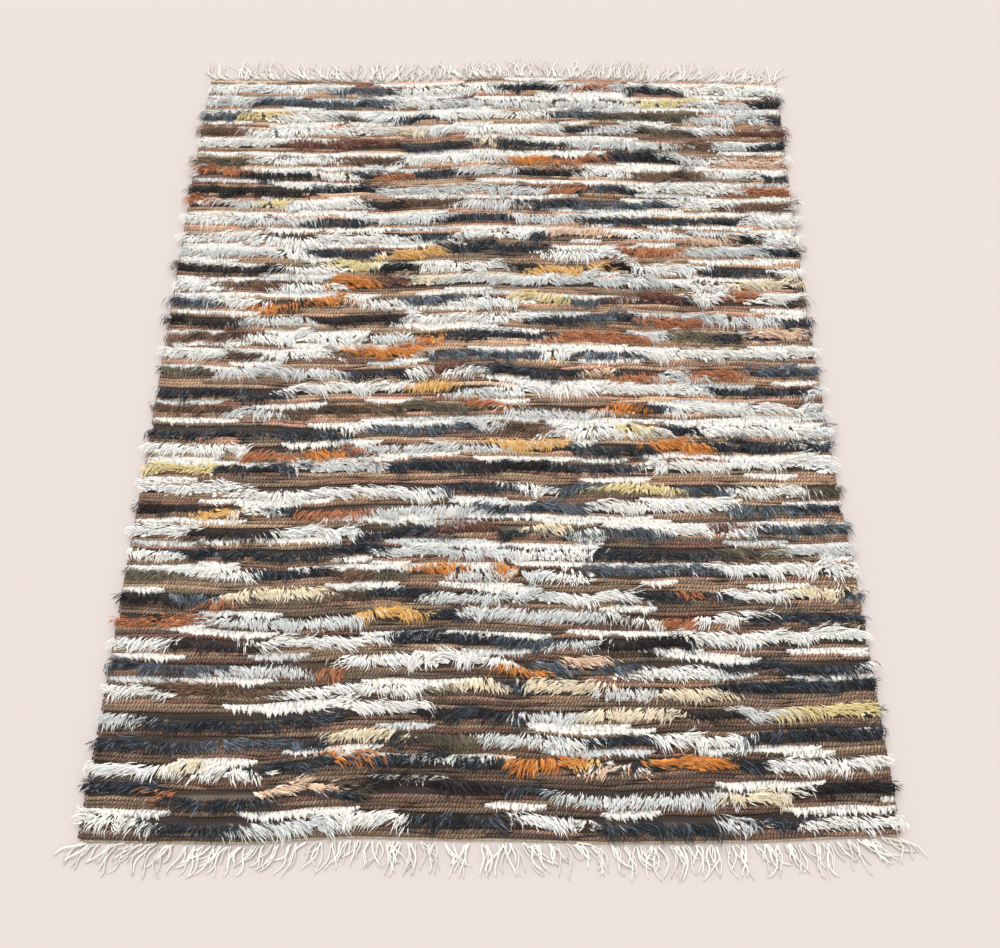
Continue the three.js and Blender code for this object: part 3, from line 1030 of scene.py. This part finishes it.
def pile_parts(name, parts, method, coats, tuft_coats, root_along):
    """The pieces of one kind of lock, each over a share of the rows."""
    pieces = []
    for part, rows in enumerate(np.array_split(np.arange(PILE_ROWS), parts)):
        sources = [(coat, row_paths(row, coat)) for row in rows for coat in coats]
        runs = [run for run in white_runs if run.row in rows]
        sources += [(coat, tuft_paths(run, coat)) for run in runs for coat in tuft_coats]
        places, colours = [], []
        for coat, (points, yarn, tone) in sources:
            line, radii = method(points, coat)
            places.append(along_paths(SPINDLE, line, radii, coat.flatness))
            # On the rows the tone is painted light and shade by clump; on the short wool it is one even
            # tone.
            colours.append(np.clip(yarn_colours(yarn) * tone[:, None], 0, BRIGHTEST))
        places, colours = np.concatenate(places), np.concatenate(colours)
        strand = strand_values(SPINDLE, len(places))
        strand[:, :, 1] = root_along + (1 - root_along) * strand[:, :, 1]
        piece = joined(f"{name}_{part + 1}", SPINDLE, places, colours, strand, PILE_WOOL)
        soften_normals(piece.data)
        pieces.append(piece)
    return pieces


wisps = pile_parts("wool_wisps", 2, whole_locks, WISP_COATS, (TUFT_WISPS,), root_along=0.0)
hairs = pile_parts("wool_hairs", 4, fine_hairs, HAIR_COATS, (TUFT_HAIRS,), root_along=0.5)

# %% [markdown]
# ## End cords and fringe
# At each end two threads are twined round the warps to lock the weave, which looks like a thin
# yellowish cord of slanted beads. The warps then hang free in small bundles, as soft wavy cords of
# plied cotton that lie on the floor.

# %% End cords
BEAD_PITCH = 0.0042
BEAD_HALF = (0.0030, 0.0013, 0.0024)
BEAD_SLANT = 0.62
CORD_MIDDLE = 0.0032
CORD_DEPTH = 0.006
CORD_COLOURS = linear([(206, 184, 140), (218, 200, 166), (190, 168, 128)])


def on_end(across, outward, out):
    """X and Y of places along one woven end, some way out from it."""
    x, y = plan(across, np.full(len(across), 0.0 if outward < 0 else 1.0))
    return x, y + outward * (END_GAP + out)


def end_cord(name, outward):
    """Slanted beads side by side along one woven end."""
    count = int(WIDTH / BEAD_PITCH)
    across = (np.arange(count) + 0.5) / count
    x, y = on_end(across, outward, CORD_DEPTH / 2)
    slant = BEAD_SLANT + rng.normal(0, 0.06, count)
    cosine, sine = np.cos(slant)[:, None], np.sin(slant)[:, None]
    long, wide, high = (BEAD.corners * BEAD_HALF).T[:, None]
    places = np.empty((count, len(BEAD.corners), 3))
    places[:, :, 0] = x[:, None] + long * cosine - wide * sine
    places[:, :, 1] = y[:, None] + long * sine + wide * cosine
    places[:, :, 2] = CORD_MIDDLE + high
    colours = CORD_COLOURS[rng.integers(len(CORD_COLOURS), size=count)]
    return joined(name, BEAD, places, colours, strand_values(BEAD, count), COTTON)


end_cords = [end_cord("end_cord_near", -1), end_cord("end_cord_far", 1)]

# %% Warp fringe
LEAN_PLACES = (0.0, 0.18, 0.25, 0.33, 0.48, 0.6, 0.68, 0.77, 0.86, 1.0)
NEAR_LEAN_DEG = (-38, -30, -34, -8, 6, 33, 24, 4, 22, 40)
FAR_LEAN_DEG = (-22, -30, -8, 12, -18, -4, 20, 8, 26, 34)
FRINGE_STEPS = 7
CORD_RADIUS = 0.0017
FRINGE_WHITES = linear([(232, 229, 221), (220, 215, 205), (240, 238, 232)])
FRINGE_ROD = rod_shape(4, FRINGE_STEPS, pointed=True)
ROOT_DROP = 0.0022
CORD_LIFT = 0.0045
STEEPEST = 1.45


def fringe(name, outward, bundles, length, lean_deg):
    """Cords in small bundles from one root, each with a soft wave of its own."""
    cords = rng.choice((2, 3, 4, 5), size=bundles, p=(0.25, 0.35, 0.25, 0.15))
    bundle = np.repeat(np.arange(bundles), cords)
    count = len(bundle)
    across = (bundle + 0.5 + rng.uniform(-0.3, 0.3, bundles)[bundle]) / bundles
    across = np.clip(across + rng.normal(0, 0.0012, count), 0.003, 0.997)
    x, y = on_end(across, outward, CORD_DEPTH * 0.6)
    shared = rng.normal(0, 9, bundles)[bundle]
    lean = smooth_line(across, LEAN_PLACES, lean_deg) + shared + rng.normal(0, 12, count)
    lean = np.radians(lean)
    reach = length * rng.uniform(0.6, 1.2, count)
    t = np.linspace(0, 1, FRINGE_STEPS + 1)[None, :]
    hook = rng.normal(0, 0.32, count)[:, None]
    heading = lean[:, None] * (1.15 - 0.3 * t) + hook * t * t
    phase = rng.uniform(0, 6.3, bundles)[bundle] + rng.normal(0, 0.6, count)
    wave = 0.5 * np.sin(t * rng.uniform(3, 7, count)[:, None] + phase[:, None])
    heading = np.clip(heading + wave * np.clip(t * 3, 0, 1), -STEEPEST, STEEPEST)
    step = (reach / FRINGE_STEPS)[:, None]
    points = np.empty((count, FRINGE_STEPS + 1, 3))
    points[:, :, 0] = x[:, None] + np.cumsum(np.sin(heading) * step, axis=1)
    points[:, :, 1] = y[:, None] + outward * np.cumsum(np.cos(heading) * step, axis=1)
    lift = rng.uniform(0, CORD_LIFT, count)[:, None] * np.sin(t * np.pi)
    points[:, :, 2] = CORD_RADIUS * 1.2 + ROOT_DROP * (1 - t) ** 2 + lift
    thick = CORD_RADIUS * rng.uniform(0.7, 1.25, count)[:, None] * (1 - 0.4 * t**2)
    places = along_paths(FRINGE_ROD, points, thick)
    colours = FRINGE_WHITES[rng.integers(len(FRINGE_WHITES), size=count)]
    return joined(name, FRINGE_ROD, places, colours, strand_values(FRINGE_ROD, count), COTTON)


fringes = [
    fringe("warp_fringe_near", -1, bundles=96, length=0.056, lean_deg=NEAR_LEAN_DEG),
    fringe("warp_fringe_far", 1, bundles=112, length=0.066, lean_deg=FAR_LEAN_DEG),
]

# %% [markdown]
# ## Riding on the frame
# Each piece rides on the rug's one body, and the imported model's rug and fringes are hidden.

# %% Frame calls
wool_pieces = [*bands, *wisps, *hairs]
cotton_pieces = [*end_cords, *fringes]
for piece in (ground, *wool_pieces):
    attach(piece, "root")
for piece in cotton_pieces:
    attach(piece, "root")
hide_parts("rug_body")
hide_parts("fringe_near")
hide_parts("fringe_far")

# %% [markdown]
# ## Floor and light
# The rug lies on a plain pale floor. One large soft lamp hangs beyond its far end, so each row of
# pile throws a soft shade towards the viewer, and a pale sky fills the rest.

# %% Floor, lamp and sky
FLOOR_HALF = 12
FLOOR_COLOUR = (199, 189, 185)
LAMP_TURN_DEG = (-34, -9, 0)
LAMP_SPREAD_DEG = 34
LAMP_STRENGTH = 1.7
SKY_STRENGTH = 1.06
SKY_COLOUR = (1.0, 0.985, 0.975, 1)

floor_shape = bmesh.new()
bmesh.ops.create_grid(floor_shape, x_segments=1, y_segments=1, size=FLOOR_HALF)
floor = placed("floor", mesh_of(floor_shape, "floor"))
floor_paint, _, floor_shader = started_material("plain pale floor", roughness=0.9)
floor_shader.inputs["Base Color"].default_value = (*linear(FLOOR_COLOUR), 1)
floor.data.materials.append(floor_paint)

lamp_data = bpy.data.lights.new("wide soft lamp", "SUN")
lamp_data.angle = np.radians(LAMP_SPREAD_DEG)
lamp_data.energy = LAMP_STRENGTH
lamp = placed("wide soft lamp", lamp_data)
lamp.rotation_euler = np.radians(LAMP_TURN_DEG)

world = bpy.data.worlds.new("pale sky")
world.use_nodes = True
sky = world.node_tree.nodes["Background"]
sky.inputs["Color"].default_value = SKY_COLOUR
sky.inputs["Strength"].default_value = SKY_STRENGTH
bpy.context.scene.world = world
bpy.context.scene.view_settings.view_transform = "Standard"
print("lamp and sky:", LAMP_STRENGTH, SKY_STRENGTH)
